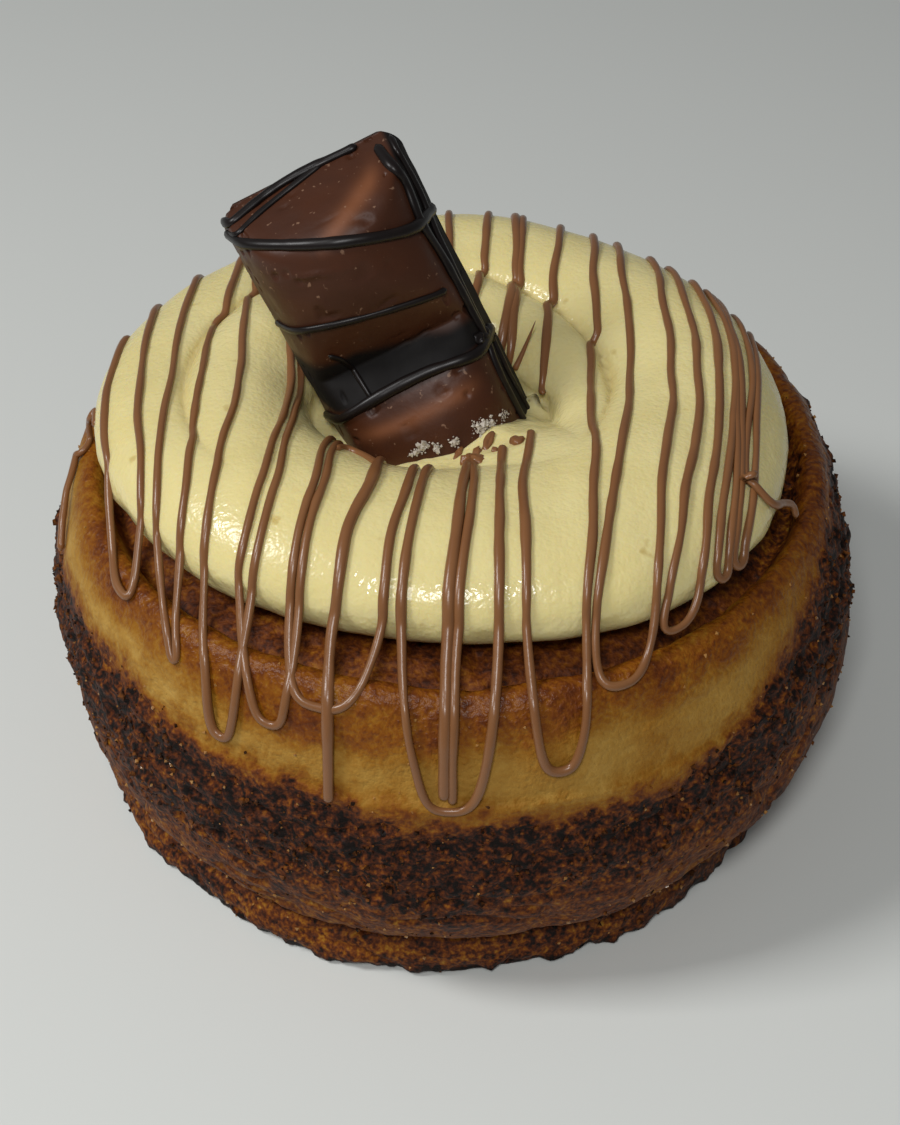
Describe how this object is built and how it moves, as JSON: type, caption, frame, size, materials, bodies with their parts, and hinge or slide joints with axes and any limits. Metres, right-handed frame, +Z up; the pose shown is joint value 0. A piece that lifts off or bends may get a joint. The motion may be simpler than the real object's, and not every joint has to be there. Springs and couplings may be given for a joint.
{
  "type": "coiled sweet roll with cream, drizzle and a wafer bar",
  "caption": "Round coiled sweet roll under a thick piped cream ring with milk-chocolate drizzle and a piece of chocolate-coated wafer bar standing in the middle.",
  "frame": {"origin": "centre of the roll's flat base", "axes": "+Z up, +X to the picture's right, -Y towards the picture's viewer"},
  "size_m": [0.0988, 0.0992, 0.0801],
  "materials": {
    "baked_dough": "Browned yeast dough with a pale band under the rim and a dark granular cinnamon-sugar crust below",
    "piped_cream": "Smooth pale yellow cream with a soft wet gloss",
    "drizzle": "Set milk chocolate, satin",
    "bar_coating": "Moulded chocolate coating, satin",
    "dark_stripes": "Dark chocolate lines, glossy"
  },
  "bodies": {
    "root": {"roll": "baked_dough", "cream_ring": "piped_cream", "wafer_bar": "bar_coating"}
  },
  "joints": []
}
